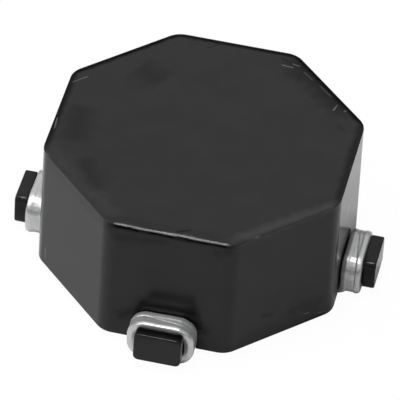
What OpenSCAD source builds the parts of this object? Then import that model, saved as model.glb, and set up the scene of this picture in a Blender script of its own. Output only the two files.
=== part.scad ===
// Surface-mount common mode choke: a ferrite ring with two wire windings, glued
// inside an octagonal moulded cap that is open below. The four wire ends leave
// through notches in the rim, wrap the lugs outside and are dipped in solder.
// All lengths are in millimetres. The board is the plane z = 0.

/* [Core] */
// Outer diameter of the ferrite ring
core_od = 7.6; // [6.8:0.1:9]
// Diameter of the hole in the ferrite ring
core_hole_d = 3.8; // [3.2:0.1:4.4]
// Height of the ferrite ring
core_h = 3.2; // [2.4:0.1:3.8]
// Radius of the tumbled edges of the ferrite ring
core_edge_r = 0.3; // [0.15:0.05:0.45]

/* [Wire] */
// Diameter of the wire with its enamel or tin
wire_d = 0.36; // [0.3:0.01:0.44]
// Smallest gap between neighbouring turns
turn_gap = 0.03; // [0.01:0.01:0.08]
// Angle of the ring that each winding covers
wound_angle = 150; // [130:1:152]
// Gap between the wire and the ring, left by the ring's coating
core_gap = 0.03; // [0.01:0.01:0.1]

/* [Case] */
// Thickness of the side walls at the rim
case_wall = 0.7; // [0.6:0.05:1]
// How far each wall leans in towards the roof, so that the cap leaves its mould
draft = 0.05; // [0:0.01:0.12]
// Thickness of the flat roof
roof_t = 0.7; // [0.5:0.05:1.2]
// Room between the wound ring and the walls, where the wire ends run
lead_room = 0.51; // [0.42:0.01:0.9]
// Room between the wound ring and the roof
head_room = 0.2; // [0.1:0.02:0.6]
// Room between the wound ring and the wire ends that pass below it
lead_clear = 0.1; // [0.06:0.02:0.4]
// Radius of the eight upright corners
corner_r = 0.8; // [0.4:0.05:1.2]
// Radius of the edge round the roof
roof_edge_r = 0.22; // [0.05:0.01:0.3]
// Smallest radius of the upright corners inside
inner_corner_r = 0.15; // [0.1:0.05:0.5]
// Gap between the rim and the board
standoff = 0.2; // [0.1:0.02:0.3]

/* [Lugs] */
// Width of a lug, the same at its neck and its head
lug_w = 1.7; // [1.5:0.05:2.2]
// Height of the neck that carries the wire
neck_h = 0.93; // [0.8:0.01:1.2]
// Corner radius of the neck
neck_r = 0.33; // [0.3:0.01:0.4]
// How far the head that keeps the wire on stands above the neck
head_rise = 0.26; // [0.12:0.01:0.4]
// How far the head reaches below the neck
head_drop = 0.02; // [0:0.01:0.1]
// Thickness of the head
head_t = 0.45; // [0.3:0.05:0.8]
// Corner radius of the head's outline
head_r = 0.2; // [0.16:0.02:0.46]
// Radius of the edge round the head's outer face
head_edge_r = 0.06; // [0.02:0.01:0.15]

/* [Terminals] */
// Turns of wire side by side on each lug
wraps = 2; // [2:1:3]
// Gap between the wire and the lug or the wall
wrap_gap = 0.01; // [0:0.005:0.03]
// How far the wire is flattened where it meets the board
seat_flat = 0.03; // [0.01:0.005:0.06]
// Radius of the bend where the wire turns from its notch up the lug
exit_bend_r = 0.34; // [0.28:0.01:0.36]
// Angle below the level at which that bend joins the first wrap
exit_angle = 15; // [5:1:18]
// Gap between the wire and its notch
notch_gap = 0.04; // [0.02:0.01:0.12]
// How far the solder stands short of the wire's outside
solder_dip = 0.05; // [0.03:0.01:0.14]

/* [Adhesive] */
// Width of each dab of adhesive
dab_w = 1.1; // [0.8:0.05:1.2]
// Height of each dab of adhesive
dab_h = 1.5; // [0.8:0.1:2]
// Gap between a dab and the curved side of the ring
dab_gap = 0.01; // [0.005:0.005:0.03]

/* [Hidden] */

// Distance of the wire's centre line from the ring's surface
lay = core_gap + wire_d / 2;
leg_in_r = core_hole_d / 2 - lay;
leg_out_r = core_od / 2 + lay;
wound_bend_r = core_edge_r + lay;
turns = floor(wound_angle * PI / 180 * leg_in_r / (wire_d + turn_gap));
turn_pitch = wound_angle / turns;

// Lug and wrap, seen from outside, from the board upwards
neck_low_z = wire_d + wrap_gap - seat_flat;
neck_high_z = neck_low_z + neck_h;
head_h = head_drop + neck_h + head_rise;
head_z = neck_low_z - head_drop + head_h / 2;
wrap_lay = wrap_gap + wire_d / 2;
leg_u = lug_w / 2 + wrap_lay;
wrap_bend_r = neck_r + wrap_lay;
wrap_pitch = wire_d + turn_gap;
corner_u = lug_w / 2 - neck_r;
low_corner_z = neck_low_z + neck_r;
high_corner_z = neck_high_z - neck_r;

// The wire leaves its notch below the place where it joins the first wrap
exit_climb = exit_bend_r * [sin(exit_angle), cos(exit_angle)];
exit_u = corner_u + wrap_bend_r * cos(exit_angle) - exit_climb.x;
exit_z = low_corner_z - wrap_bend_r * sin(exit_angle) - exit_climb.y;

// The bend begins inside the wall, so the notch rises over the inner side of the bend
bend_in = exit_bend_r - wrap_lay;
bend_clear = sqrt(wrap_gap * (2 * bend_in + wrap_gap));
notch_rise = exit_bend_r - bend_clear - wire_d / 2;

// Heights of the case and of the wound ring in it
rim_z = standoff;
low_wire_z = exit_z + wire_d + lead_clear;
core_z = low_wire_z + lay;
high_wire_z = core_z + core_h + lay;
ceiling_z = high_wire_z + wire_d / 2 + head_room;
roof_z = ceiling_z + roof_t;

// Half widths of the case across its flats, and distances of the lugs' parts
inner_half = leg_out_r + wire_d / 2 + lead_room;
wall_face = inner_half + case_wall;
roof_half = wall_face - draft;
first_wrap = wall_face + wrap_lay;
last_wrap = first_wrap + (wraps - 1) * wrap_pitch;
head_face = last_wrap + wrap_lay;

// Each winding starts and ends beside a lug. The lugs point along +X, +Y, -X and -Y,
// and the notch lies on the side of its lug that is nearer to the winding.
wound_start = 45 - wound_angle / 2;
LUG_TURN = 90;
function notch_side(lug) = lug % 2 == 0 ? -1 : 1;

// Facets
wire_sides = 8;
bend_steps = 3;
wrap_steps = 5;
lead_steps = 8;
corner_steps = 5;
edge_steps = 4;
cut_over = 1;

// Small geometry helpers
function unit(v) = v / norm(v);
function polar(r, a, z) = [r * cos(a), r * sin(a), z];
function spun(p, a) = [p.x * cos(a) - p.y * sin(a), p.x * sin(a) + p.y * cos(a), p.z];
function smooth(f) = f * f * (3 - 2 * f);
function bezier(a, b, c, d, steps) = [
    for (i = [0 : steps])
        let (t = i / steps, s = 1 - t)
        s * s * s * a + 3 * s * s * t * b + 3 * s * t * t * c + t * t * t * d
];

// Octagon with rounded corners, as a list of points
function octagon(half, r) = [
    for (k = [0 : 7])
        for (i = [0 : corner_steps])
            let (out = 22.5 + 45 * k, a = out - 22.5 + 45 * i / corner_steps)
            (half - r) / cos(22.5) * [cos(out), sin(out)] + r * [cos(a), sin(a)]
];

// Rectangle with rounded corners, centred on the origin
function soft_rect(w, h, r) = [
    for (k = [0 : 3])
        for (i = [0 : wrap_steps])
            let (a = 90 * k + 90 * i / wrap_steps)
            let (right = k == 0 || k == 3 ? 1 : -1, upper = k < 2 ? 1 : -1)
            [right * (w / 2 - r) + r * cos(a), upper * (h / 2 - r) + r * sin(a)]
];

// A closed skin over a row of outlines that all have as many points
module loft(outlines) {
    sides = len(outlines[0]);
    last = len(outlines) - 1;
    skin = [
        for (i = [0 : last - 1])
            for (j = [0 : sides - 1])
                let (k = (j + 1) % sides, here = i * sides, next = here + sides)
                [here + j, next + j, next + k, here + k]
    ];
    start_cap = [for (j = [0 : sides - 1]) j];
    end_cap = [for (j = [0 : sides - 1]) (last + 1) * sides - 1 - j];
    polyhedron(points = [for (outline = outlines) each outline], faces = concat([start_cap], skin, [end_cap]));
}

// A rounded edge in steps: how far each step lies inside the outline and below the face
function edge_round(r) = [
    for (i = [0 : edge_steps])
        let (a = 90 * i / edge_steps)
        r * [1 - cos(a), 1 - sin(a)]
];

// An outline laid level at a height, or stood across a lug at a distance
function level(outline, z) = [for (p = outline) [p.x, p.y, z]];
function upright(outline, x, z) = [for (p = outline) [x, p.x, z + p.y]];

// Round wire along a list of points. The section is carried along without twisting.
function tangents(path) = [
    for (i = [0 : len(path) - 1])
        unit(path[min(i + 1, len(path) - 1)] - path[max(i - 1, 0)])
];
function across(n, t) = unit(n - (n * t) * t);
function normals(t, first) = [
    for (n = across(first, t[0]), i = 0; i < len(t); n = across(n, t[min(i + 1, len(t) - 1)]), i = i + 1) n
];
module wire(path, first_normal = [0, 0, 1]) {
    t = tangents(path);
    n = normals(t, first_normal);
    loft([
        for (i = [0 : len(path) - 1]) [
            for (j = [0 : wire_sides - 1])
                let (a = 360 * (j + 0.5) / wire_sides)
                path[i] + wire_d / 2 * (cos(a) * n[i] + sin(a) * cross(t[i], n[i]))
        ]
    ]);
}

// An outline drawn as seen from outside the +X wall, standing on the board and
// reaching from one distance to another
module outward(from, to) {
    translate([from, 0, 0])
        rotate([90, 0, 90])
            linear_extrude(height = to - from) children();
}

// The octagonal block with its leaning walls and its rounded roof edge
module case_block() {
    loft(concat(
        [level(octagon(wall_face, corner_r), rim_z)],
        [for (step = edge_round(roof_edge_r))
            level(octagon(roof_half - step.x, corner_r - step.x), roof_z - step.y)]
    ));
}

// The hollow that takes the wound ring, open at the rim
module case_hollow() {
    translate([0, 0, rim_z - cut_over])
        linear_extrude(height = ceiling_z - rim_z + cut_over)
            polygon(octagon(inner_half, max(corner_r - case_wall, inner_corner_r)));
}

// The notch in the rim that lets one wire end out under the wall
module wire_notch(side) {
    notch_w = wire_d + 2 * notch_gap;
    translate([inner_half - cut_over, side * exit_u, exit_z + notch_rise]) {
        rotate([0, 90, 0]) cylinder(d = notch_w, h = case_wall + 2 * cut_over, $fn = 48);
        translate([0, -notch_w / 2, -cut_over]) cube([case_wall + 2 * cut_over, notch_w, cut_over]);
    }
}

// A lug: the neck that carries the wire and the head that keeps it on
function head_outline(inset) = soft_rect(lug_w - 2 * inset, head_h - 2 * inset, head_r - inset);
module lug() {
    root = (inner_half + wall_face) / 2;
    outward(root, head_face + head_t / 2)
        translate([0, neck_low_z + neck_h / 2]) polygon(soft_rect(lug_w, neck_h, neck_r));
    loft(concat(
        [upright(head_outline(0), head_face, head_z)],
        [for (step = edge_round(head_edge_r))
            upright(head_outline(step.x), head_face + head_t - step.y, head_z)]
    ));
}

// The octagonal cap with its four lugs, moulded in one piece
module case() {
    color("#2c2d2e") {
        difference() {
            case_block();
            case_hollow();
            for (k = [0 : 3])
                rotate(LUG_TURN * k) wire_notch(notch_side(k));
        }
        for (k = [0 : 3])
            rotate(LUG_TURN * k) lug();
    }
}

// The ferrite ring with its tumbled edges
module core() {
    color("#4a4b4e")
        translate([0, 0, core_z + core_h / 2])
            rotate_extrude($fn = 96)
                translate([(core_od + core_hole_d) / 4, 0])
                    polygon(soft_rect((core_od - core_hole_d) / 2, core_h, core_edge_r));
}

// One rounded corner of a turn, at an angle round the ring that grows with the wire
function turn_corner(turn, corner) = [
    for (i = [0 : bend_steps])
        let (bend = 90 * (corner + i / bend_steps))
        let (outer = corner == 0 || corner == 3, upper = corner < 2)
        let (r = outer ? leg_out_r - wound_bend_r : leg_in_r + wound_bend_r)
        let (z = upper ? high_wire_z - wound_bend_r : low_wire_z + wound_bend_r)
        let (share = (corner + 0.5 + 0.5 * (i / bend_steps - 0.5)) / 4)
        polar(
            r + wound_bend_r * cos(bend),
            wound_start + turn_pitch * (turn + share),
            z + wound_bend_r * sin(bend)
        )
];

// The centre line of one winding: in from a notch, up the outside of the ring,
// over the top, down through the hole, out below, and at last to the next notch.
// The last stub of each end lies square to the wall.
lead_stub = wire_d / 4;
lead_in = let (
        end = [inner_half, notch_side(0) * exit_u, exit_z],
        from = end - [lead_stub, 0, 0],
        to = polar(leg_out_r, wound_start, low_wire_z + wound_bend_r)
    )
    concat([end], bezier(from, from - [lead_room, 0, 0], [to.x, to.y, exit_z], to, lead_steps));
coil = [
    for (turn = [0 : turns - 1])
        for (corner = [0 : turn == turns - 1 ? 2 : 3])
            each turn_corner(turn, corner)
];
lead_out = let (
        end = spun([inner_half, notch_side(1) * exit_u, exit_z], LUG_TURN),
        from = coil[len(coil) - 1],
        to = end - [0, lead_stub, 0],
        under = polar(leg_out_r - wound_bend_r, wound_start + wound_angle - turn_pitch / 8, low_wire_z)
    )
    concat(bezier(from, under, to - [0, lead_room + wire_d, 0], to, lead_steps), [end]);
function after_first(path) = [for (i = [1 : len(path) - 1]) path[i]];
winding_path = concat(lead_in, coil, after_first(lead_out));

// The two windings are alike, half a turn apart
module winding(half) {
    color("#a8562c")
        rotate(2 * LUG_TURN * half) wire(winding_path);
}
module winding_a() {
    winding(0);
}
module winding_b() {
    winding(1);
}

// One rounded corner of a wrap round the neck, at a distance from the case's centre.
// Corners are counted from the one above the notch, over the top and round.
function wrap_corner(side, corner, x) = [
    for (i = [0 : wrap_steps])
        let (bend = 90 * (corner + i / wrap_steps))
        let (u = (corner == 0 || corner == 3 ? 1 : -1) * corner_u)
        let (z = corner < 2 ? high_corner_z : low_corner_z)
        [x, side * (u + wrap_bend_r * cos(bend)), z + wrap_bend_r * sin(bend)]
];

// The bend from the notch up the side of the lug
function exit_bend(side) = [
    for (i = [0 : wrap_steps])
        let (a = 90 * i / wrap_steps, climb = (1 - cos(a)) * exit_climb)
        [first_wrap - exit_bend_r * (1 - sin(a)), side * (exit_u + climb.x), exit_z + climb.y]
];

// Under the neck the wire crosses over to the next turn
function wrap_crossing(side, x) = [
    for (i = [1 : wrap_steps - 1])
        let (f = i / wrap_steps)
        [x + wrap_pitch * smooth(f), side * corner_u * (2 * f - 1), neck_low_z - wrap_lay]
];

// The centre line of one wire end: out through the notch, up, and round the neck
function wrap_path(side) = concat(
    [[inner_half, side * exit_u, exit_z]],
    exit_bend(side),
    [[first_wrap, side * leg_u, low_corner_z]],
    [for (w = [0 : wraps - 1])
        let (x = first_wrap + w * wrap_pitch)
        each concat(
            wrap_corner(side, 0, x),
            wrap_corner(side, 1, x),
            wrap_corner(side, 2, x),
            w < wraps - 1 ? wrap_crossing(side, x) : [],
            w < wraps - 1 ? wrap_corner(side, 3, x + wrap_pitch) : []
        )
    ]
);

// The solder that fills the wrap between its first and last turn, flat on the board
module solder() {
    skin = wire_d - solder_dip;
    solder_w = lug_w + 2 * (wrap_gap + skin);
    solder_top = neck_high_z + wrap_gap + skin;
    outward(first_wrap, last_wrap)
        difference() {
            translate([0, solder_top / 2])
                polygon(soft_rect(solder_w, solder_top, neck_r + wrap_gap + skin));
            translate([0, neck_low_z + neck_h / 2])
                polygon(soft_rect(lug_w + 2 * wrap_gap, neck_h + 2 * wrap_gap, neck_r + wrap_gap));
        }
}

// A terminal: one wire end wrapped round its lug, dipped in solder, flat below
module terminal(lug) {
    color("#b9bcbe")
        rotate(LUG_TURN * lug)
            difference() {
                union() {
                    wire(wrap_path(notch_side(lug)), [0, 1, 0]);
                    solder();
                }
                translate([inner_half, -lug_w, -cut_over]) cube([head_face, 2 * lug_w, cut_over]);
            }
}
module terminal_right() {
    terminal(0);
}
module terminal_back() {
    terminal(1);
}
module terminal_left() {
    terminal(2);
}
module terminal_front() {
    terminal(3);
}

// Two dabs of adhesive that hold the bare ring to the walls between the windings
module adhesive() {
    color("#cfc9b4")
        for (half = [0, 1])
            rotate(135 + 2 * LUG_TURN * half)
                difference() {
                    outward(core_od / 2 - core_edge_r, inner_half)
                        translate([0, core_z + dab_h / 2]) polygon(soft_rect(dab_w, dab_h, dab_w / 3));
                    translate([0, 0, core_z - cut_over])
                        cylinder(r = core_od / 2 + dab_gap, h = core_h + 2 * cut_over, $fn = 96);
                }
}

case();
core();
winding_a();
winding_b();
terminal_front();
terminal_right();
terminal_back();
terminal_left();
adhesive();
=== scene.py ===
# %% [markdown]
# # A surface-mount common mode choke
# This small part sits on a circuit board and keeps noise off a pair of lines. A black moulded cap with
# eight walls covers a ferrite ring that carries two windings of enamelled wire. The four wire ends leave
# under the rim, wrap the lugs outside and are dipped in solder, so that the lugs can be soldered down.
#
# The imported solids are the frame. They hold the real sizes and places, and every mesh below is laid over
# its own solid, so nothing has to be fitted by eye.

# %% Load the frame
import math

import bmesh
import bpy
from mathutils import Matrix, Quaternion, Vector, noise


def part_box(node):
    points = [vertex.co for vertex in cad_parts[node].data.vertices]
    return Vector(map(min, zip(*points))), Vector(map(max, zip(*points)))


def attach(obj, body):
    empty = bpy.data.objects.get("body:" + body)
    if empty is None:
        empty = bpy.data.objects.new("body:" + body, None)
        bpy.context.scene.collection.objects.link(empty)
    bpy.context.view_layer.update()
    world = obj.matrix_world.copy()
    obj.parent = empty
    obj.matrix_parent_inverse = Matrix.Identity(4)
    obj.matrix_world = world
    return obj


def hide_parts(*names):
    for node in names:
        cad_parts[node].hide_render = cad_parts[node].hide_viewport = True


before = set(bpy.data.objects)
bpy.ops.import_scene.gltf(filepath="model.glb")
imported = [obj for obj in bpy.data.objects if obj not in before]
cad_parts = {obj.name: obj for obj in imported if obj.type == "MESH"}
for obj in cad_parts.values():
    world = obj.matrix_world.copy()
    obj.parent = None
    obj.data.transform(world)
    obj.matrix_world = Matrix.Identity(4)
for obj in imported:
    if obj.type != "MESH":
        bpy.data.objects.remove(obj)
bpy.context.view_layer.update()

scene = bpy.context.scene
print("solids:", ", ".join(sorted(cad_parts)))

# %% [markdown]
# ## Millimetres
# The part is only 13 mm wide. In metres, the voxels for its solder would be finer than voxel remeshing
# accepts, so each mesh is modelled with one unit to the millimetre and shrunk once, when it is finished. The
# main sizes are read from the solids, and what the boxes can't tell is named where it is first needed.

# %% Main sizes, in millimetres
MM = 0.001
LEVEL_TOL = 0.01
LUG_TURN = math.radians(90)
LUGS = ("right", "back", "left", "front")


def span(node):
    """Lowest and highest corner of a solid, in millimetres."""
    lowest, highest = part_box(node)
    return lowest / MM, highest / MM


case_low, case_high = span("case")
core_low, core_high = span("core")
rim_z = case_low.z
roof_z = case_high.z
head_end = case_high.x
inner_half = span("terminal_right")[0].x
case_points = [v.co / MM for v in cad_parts["case"].data.vertices]
wall_face = max(p.x for p in case_points if p.z < rim_z + LEVEL_TOL)
roof_half = max(p.x for p in case_points if p.z > core_high.z)
print(f"case: {2 * wall_face:.2f} mm across flats at the rim, {2 * roof_half:.2f} at the roof")

# %% [markdown]
# ## The camera
# The picture is taken from far away with a long lens, so the walls hardly converge. The angles were found
# by matching the corners of the octagon. The camera also leans a little to one side. Instead of a lens
# shift, the camera itself is moved sideways, which keeps every other view centred.

# %% Camera
IMAGE_PX = 400
SENSOR_MM = 36.0
FOCAL_PX = 4730.0
CAMERA_DISTANCE = 168.5
CAMERA_AZIMUTH = math.radians(10.37)
CAMERA_ELEVATION = math.radians(41.62)
CAMERA_ROLL = math.radians(3.7)
CENTRE_PX = (201.23, 189.95)


def add_object(name, data):
    """A new object in the scene."""
    added = bpy.data.objects.new(name, data)
    scene.collection.objects.link(added)
    return added


back = Vector((
    math.sin(CAMERA_AZIMUTH) * math.cos(CAMERA_ELEVATION),
    -math.cos(CAMERA_AZIMUTH) * math.cos(CAMERA_ELEVATION),
    math.sin(CAMERA_ELEVATION),
))
turn = (-back).to_track_quat("-Z", "Y") @ Quaternion((0, 0, 1), CAMERA_ROLL)
px_mm = CAMERA_DISTANCE / FOCAL_PX
slide = turn @ Vector((IMAGE_PX / 2 - CENTRE_PX[0], CENTRE_PX[1] - IMAGE_PX / 2, 0)) * px_mm
middle = Vector((0, 0, (rim_z + roof_z) / 2))

lens = bpy.data.cameras.new("camera")
lens.sensor_width = SENSOR_MM
lens.lens = FOCAL_PX / IMAGE_PX * SENSOR_MM
lens.clip_start, lens.clip_end = 0.01, 10
camera = add_object("camera", lens)
camera.location = (middle + back * CAMERA_DISTANCE + slide) * MM
camera.rotation_mode = "QUATERNION"
camera.rotation_quaternion = turn
scene.camera = camera
scene.view_settings.view_transform = "Standard"
print(f"camera: lens {lens.lens:.0f} mm, {CAMERA_DISTANCE:.0f} mm away, a pixel is {px_mm:.4f} mm")

# %% [markdown]
# ## Nodes and node groups
# Materials and Geometry Nodes are both trees of nodes. One helper places a node, sets its properties and
# fills its inputs, and links an input when the value given is another node's output. Another starts a node
# group with named inputs and outputs, which later trees use like a node of their own.

# %% Node helpers
def place(tree, kind, inputs=None, **settings):
    """Place one node. Inputs are given by name or number, as a plain value or as an output to link."""
    node = tree.nodes.new(kind)
    for name, value in settings.items():
        setattr(node, name, value)
    for key, value in (inputs or {}).items():
        if isinstance(value, bpy.types.NodeSocket):
            tree.links.new(value, node.inputs[key])
        else:
            node.inputs[key].default_value = value
    return node


def maths(tree, operation, a, b=0.0):
    """The output of one Math node."""
    return place(tree, "ShaderNodeMath", {0: a, 1: b}, operation=operation).outputs[0]


def floats(*names):
    """Sockets for plain numbers."""
    return dict.fromkeys(names, "Float")


def node_group(name, purpose, inputs, outputs):
    """A new node group, as its tree, the inputs given to it and the outputs made in it."""
    tree = bpy.data.node_groups.new(name, purpose + "NodeTree")
    for way, kinds in (("INPUT", inputs), ("OUTPUT", outputs)):
        for shown_name, kind in kinds.items():
            tree.interface.new_socket(name=shown_name, in_out=way, socket_type="NodeSocket" + kind)
    return tree, tree.nodes.new("NodeGroupInput").outputs, tree.nodes.new("NodeGroupOutput").inputs


# %% [markdown]
# ## Light
# A white tent lights the part from all round, a large softbox on the left adds shape, and a small lamp
# overhead gives short, firm shadows. In reflections the tent is white above and dark round its foot, which
# draws dark lines on round edges and on the solder. A panorama could do this too, but it would need a file.
# The floor is white paper. To the camera it glows, so that it comes out white with only a trace of shadow.
# In reflections it hardly glows, because the walls and the solder get their shape from the lit and shaded
# paper at their feet.

# %% World
TENT_LIGHT = 0.17
TENT_GAP = 0.03
TENT_FOOT = math.radians(20)
TENT_TOP = math.radians(36)

world = bpy.data.worlds.new("tent")
scene.world = world
world.use_nodes = True
sky = world.node_tree
sky.nodes.clear()


def light_path(tree):
    """Light Path's outputs, and 1 for rays that see the stage straight or through glass."""
    path = place(tree, "ShaderNodeLightPath").outputs
    return path, maths(tree, "MAXIMUM", path["Is Camera Ray"], path["Is Transmission Ray"])


path, shown = light_path(sky)
direction = place(sky, "ShaderNodeTexCoord").outputs["Generated"]
towards = place(sky, "ShaderNodeSeparateXYZ", {0: direction})
tent = place(sky, "ShaderNodeMapRange", {
    "Value": towards.outputs["Z"], "From Min": math.sin(TENT_FOOT), "From Max": math.sin(TENT_TOP),
    "To Min": TENT_GAP, "To Max": 1.0,
})
mirrored = maths(sky, "MULTIPLY", path["Is Glossy Ray"], tent.outputs[0])
others = maths(sky, "SUBTRACT", 1.0, maths(sky, "MAXIMUM", shown, path["Is Glossy Ray"]))
lighting = maths(sky, "MULTIPLY", others, TENT_LIGHT)
strength = maths(sky, "ADD", maths(sky, "ADD", shown, mirrored), lighting)
dome = place(sky, "ShaderNodeBackground", {"Color": (1, 1, 1, 1), "Strength": strength})
place(sky, "ShaderNodeOutputWorld", {"Surface": dome.outputs[0]})
print(f"world: tent, dark below {math.degrees(TENT_FOOT):.0f} degrees in reflections")

# %% Floor
FLOOR_SIZE = 1.2
CAMERA_GLOW = 0.97
MIRROR_GLOW = 0.05
PAPER = 0.95

paper = bpy.data.materials.new("paper")
paper.use_nodes = True
sheet = paper.node_tree
sheet.nodes.clear()
path, shown = light_path(sheet)
glow = place(sheet, "ShaderNodeEmission", {"Strength": 1.0})
matt = place(sheet, "ShaderNodeBsdfDiffuse", {"Color": (PAPER, PAPER, PAPER, 1)})
mirrored = maths(sheet, "MULTIPLY", path["Is Glossy Ray"], MIRROR_GLOW)
share = maths(sheet, "MAXIMUM", maths(sheet, "MULTIPLY", shown, CAMERA_GLOW), mirrored)
mixed = place(sheet, "ShaderNodeMixShader", {0: share, 1: matt.outputs[0], 2: glow.outputs[0]})
place(sheet, "ShaderNodeOutputMaterial", {"Surface": mixed.outputs[0]})

half = FLOOR_SIZE / 2
floor_corners = [(-half, -half, 0), (half, -half, 0), (half, half, 0), (-half, half, 0)]
floor_mesh = bpy.data.meshes.new("floor")
floor_mesh.from_pydata(floor_corners, [], [(0, 1, 2, 3)])
floor_mesh.materials.append(paper)
floor = add_object("floor", floor_mesh)
print(f"floor: {FLOOR_SIZE} m of white paper")


# %% Lamps
def softbox(name, azimuth, elevation, distance, size, watts):
    """A square area lamp that faces the part from a given side and height."""
    a, e = math.radians(azimuth), math.radians(elevation)
    side = Vector((math.sin(a) * math.cos(e), -math.cos(a) * math.cos(e), math.sin(e)))
    lamp = bpy.data.lights.new(name, "AREA")
    lamp.size = size
    lamp.energy = watts
    box = add_object(name, lamp)
    box.location = side * distance
    box.rotation_mode = "QUATERNION"
    box.rotation_quaternion = (-side).to_track_quat("-Z", "Y")
    print(f"lamp {name}: {watts} W, {size} m wide, {distance} m away")


softbox("key", azimuth=-75, elevation=45, distance=0.3, size=0.22, watts=0.42)
softbox("top", azimuth=-60, elevation=84, distance=0.3, size=0.08, watts=0.6)

# %% [markdown]
# ## Finishes
# Real surfaces are never one flat colour. Three effects are used by more than one finish, so each is a
# shader node group: a fine grain, slow clouds of tone, and wear on edges. The wear reads a value that the
# mesh carries on its points, 1 on an edge and 0 on a flat, and breaks it up with noise. One function then
# builds what all five finishes have in common.

# %% Shared effects
NOISE_LOW, NOISE_HIGH = 0.3, 0.7
WORN_FROM, WORN_FULL = 0.7, 0.85


def noise_at(tree, scale, detail):
    """Noise over the piece's own coordinates. The scale counts features per metre."""
    where = place(tree, "ShaderNodeTexCoord").outputs["Object"]
    inputs = {"Vector": where, "Scale": scale, "Detail": detail}
    return place(tree, "ShaderNodeTexNoise", inputs).outputs["Fac"]


grain, given, made = node_group("grain", "Shader", floats("Scale"), floats("Height"))
grain.links.new(noise_at(grain, given["Scale"], detail=3.0), made["Height"])

clouds, given, made = node_group("clouds", "Shader", floats("Scale", "Low", "High"), floats("Value"))
spread = place(clouds, "ShaderNodeMapRange", {
    "Value": noise_at(clouds, given["Scale"], detail=4.0), "From Min": NOISE_LOW, "From Max": NOISE_HIGH,
    "To Min": given["Low"], "To Max": given["High"],
})
clouds.links.new(spread.outputs[0], made["Value"])

wear, given, made = node_group("wear", "Shader", floats("Scale", "Cover"), floats("Mask"))
edge = place(wear, "ShaderNodeAttribute", attribute_name="edge").outputs["Fac"]
broken = maths(wear, "MULTIPLY", edge, noise_at(wear, given["Scale"], detail=6.0))
level = maths(wear, "SUBTRACT", 1.0, given["Cover"])
worn = place(wear, "ShaderNodeMapRange", {
    "Value": broken, "From Min": maths(wear, "MULTIPLY", level, WORN_FROM),
    "From Max": maths(wear, "MULTIPLY", level, WORN_FULL),
})
wear.links.new(worn.outputs[0], made["Mask"])
print("effects: grain, clouds, wear")


# %% Finish helpers
MIX_A, MIX_B, MIX_RESULT = 6, 7, 2


def use(tree, group, **values):
    """Place a shared effect with its own values and return its one output."""
    return place(tree, "ShaderNodeGroup", values, node_tree=group).outputs[0]


def tint(tree, factor, low, high):
    """A colour between two, by a factor."""
    a, b = (end if isinstance(end, bpy.types.NodeSocket) else (*end, 1) for end in (low, high))
    mixed = place(tree, "ShaderNodeMix", {0: factor, MIX_A: a, MIX_B: b}, data_type="RGBA")
    return mixed.outputs[MIX_RESULT]


def finish(name, tone, rough, relief, values=None):
    """A material with drifting colour and roughness and a fine relief, its tree, its shader and its colour.

    Tone and roughness are a scale and two ends, and the relief is a scale and a depth in metres.
    """
    material = bpy.data.materials.new(name)
    material.use_nodes = True
    tree = material.node_tree
    shader = tree.nodes["Principled BSDF"]
    for key, value in (values or {}).items():
        shader.inputs[key].default_value = value
    scale, low, high = tone
    colour = tint(tree, use(tree, clouds, Scale=scale, Low=0.0, High=1.0), low, high)
    tree.links.new(colour, shader.inputs["Base Color"])
    scale, low, high = rough
    tree.links.new(use(tree, clouds, Scale=scale, Low=low, High=high), shader.inputs["Roughness"])
    scale, depth = relief
    height = use(tree, grain, Scale=scale)
    bump = place(tree, "ShaderNodeBump", {"Height": height, "Distance": depth, "Strength": 1.0})
    tree.links.new(bump.outputs[0], shader.inputs["Normal"])
    print("finish:", name)
    return material, tree, shader, colour


# %% [markdown]
# ### Scratches and painted shade
# The cap has been handled. Short scratches and dark rubbed patches lie near its corners. The front roof edge
# carries a thin uneven pale line, partly rubbed wear and partly a painted highlight on the flash, and painted
# highlights lighten the front-left and front-right roof edges. Painted shade darkens the roof's edges on the
# right, back and left as a dark reflection, the top of the front-left wall, the front-right wall towards its
# foot, the wall under the front lip and in an arch over the front wrap, the top of the front lug's head and
# the heads of the side lugs.
# They could be painted on a picture, but strokes given in the part's own millimetres stay sharp at any size.
# The group measures how far a point lies from a straight stroke. Noise makes the stroke's width uneven, and
# both ends fade.

# %% Stroke effect
RAGGED_SCALE = 2600.0
RAGGED_SPREAD = 2.0
END_FADE = 8.0


def vectors(tree, operation, a, b):
    """One Vector Math node."""
    return place(tree, "ShaderNodeVectorMath", {0: a, 1: b}, operation=operation)


stroke_inputs = {"Start": "Vector", "End": "Vector"} | floats("Width", "Strength")
stroke_mask, given, made = node_group("stroke_mask", "Shader", stroke_inputs, floats("Mask"))
where = place(stroke_mask, "ShaderNodeTexCoord").outputs["Object"]
stroke = vectors(stroke_mask, "SUBTRACT", given["End"], given["Start"]).outputs[0]
offset = vectors(stroke_mask, "SUBTRACT", where, given["Start"]).outputs[0]
share = maths(
    stroke_mask, "DIVIDE", vectors(stroke_mask, "DOT_PRODUCT", offset, stroke).outputs["Value"],
    vectors(stroke_mask, "DOT_PRODUCT", stroke, stroke).outputs["Value"],
)
share.node.use_clamp = True
nearest = vectors(stroke_mask, "SCALE", stroke, (0, 0, 0))
stroke_mask.links.new(share, nearest.inputs["Scale"])
away = vectors(stroke_mask, "DISTANCE", offset, nearest.outputs[0]).outputs["Value"]
uneven = maths(stroke_mask, "MULTIPLY", noise_at(stroke_mask, RAGGED_SCALE, detail=5.0), RAGGED_SPREAD)
ragged = maths(stroke_mask, "MULTIPLY", given["Width"], uneven)

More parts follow.
